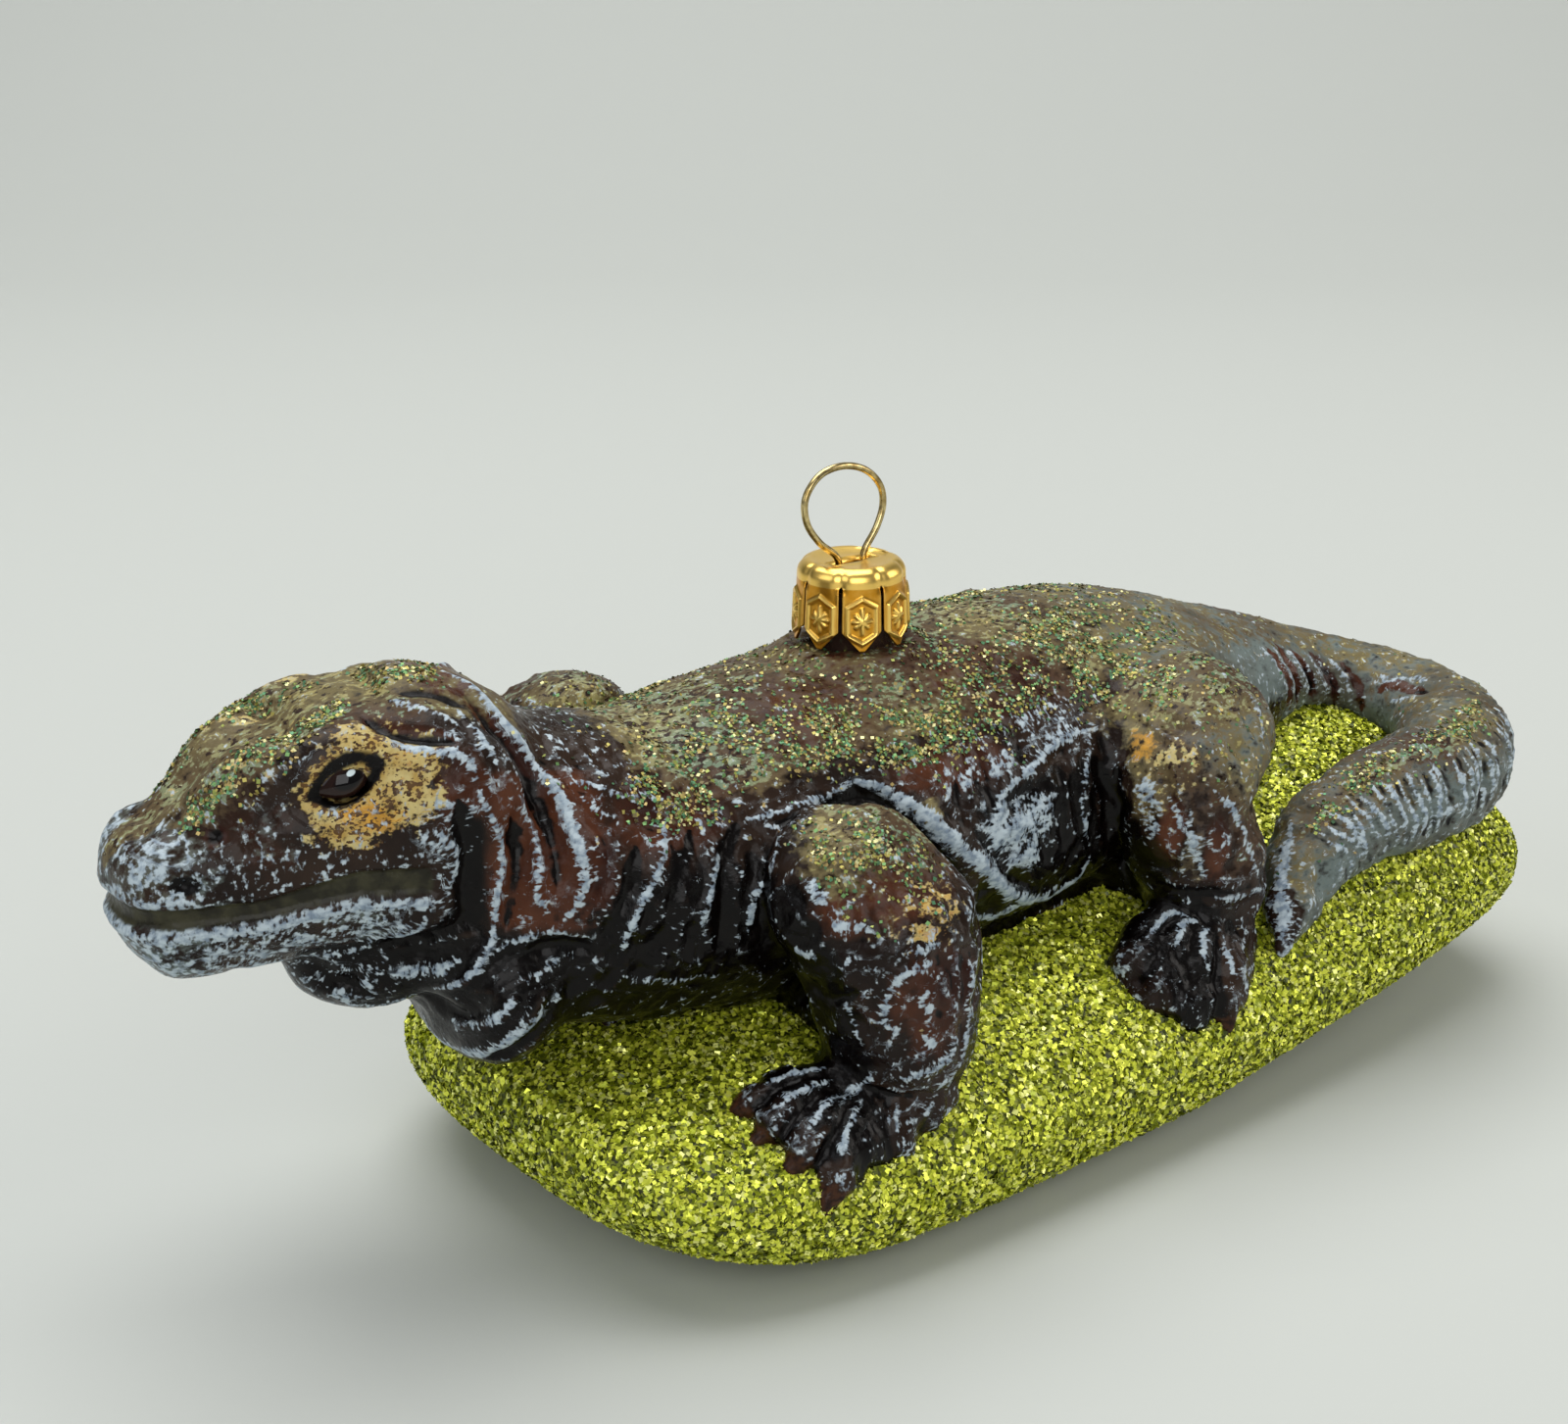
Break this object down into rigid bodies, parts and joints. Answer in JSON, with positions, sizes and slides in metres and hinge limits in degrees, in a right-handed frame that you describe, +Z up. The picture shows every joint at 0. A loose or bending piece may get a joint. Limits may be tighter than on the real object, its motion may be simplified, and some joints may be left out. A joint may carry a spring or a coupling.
{
  "type": "blown glass komodo dragon christmas ornament",
  "caption": "Hand-painted blown-glass hanging ornament: a komodo dragon lying over a green-glittered mound, with a gold crown cap and wire hanger ring.",
  "frame": {"origin": "centre of the bounding box on plan, at the level of the flat that the mound rests on", "axes": "+Z up, the dragon's tail end towards +X and its snout towards -X, its left side towards -Y"},
  "size_m": [0.1626, 0.065, 0.0697],
  "materials": {
    "painted_glass": "gloss lacquer, hand painted, with dry-brushed highlights and glitter",
    "eye_lacquer": "high gloss",
    "glitter_glass": "coarse chartreuse glitter",
    "gold_cap": "bright gold",
    "bare_glass": "gloss",
    "ring_wire": "bright drawn wire"
  },
  "bodies": {
    "root": {"head": "painted_glass", "lower_jaw": "painted_glass", "neck": "painted_glass", "trunk": "painted_glass", "tail_base": "painted_glass", "tail_bend": "painted_glass", "tail_end": "painted_glass", "front_upper_arm_left": "painted_glass", "front_forearm_left": "painted_glass", "front_foot_left": "painted_glass", "hind_thigh_left": "painted_glass", "hind_shank_left": "painted_glass", "hind_foot_left": "painted_glass", "front_upper_arm_right": "painted_glass", "front_forearm_right": "painted_glass", "front_foot_right": "painted_glass", "hind_thigh_right": "painted_glass", "hind_shank_right": "painted_glass", "hind_foot_right": "painted_glass", "eye_left": "eye_lacquer", "eye_right": "eye_lacquer", "mound": "glitter_glass", "cap_crown": "gold_cap", "glass_neck": "bare_glass", "hanger_ring": "ring_wire"}
  },
  "joints": []
}
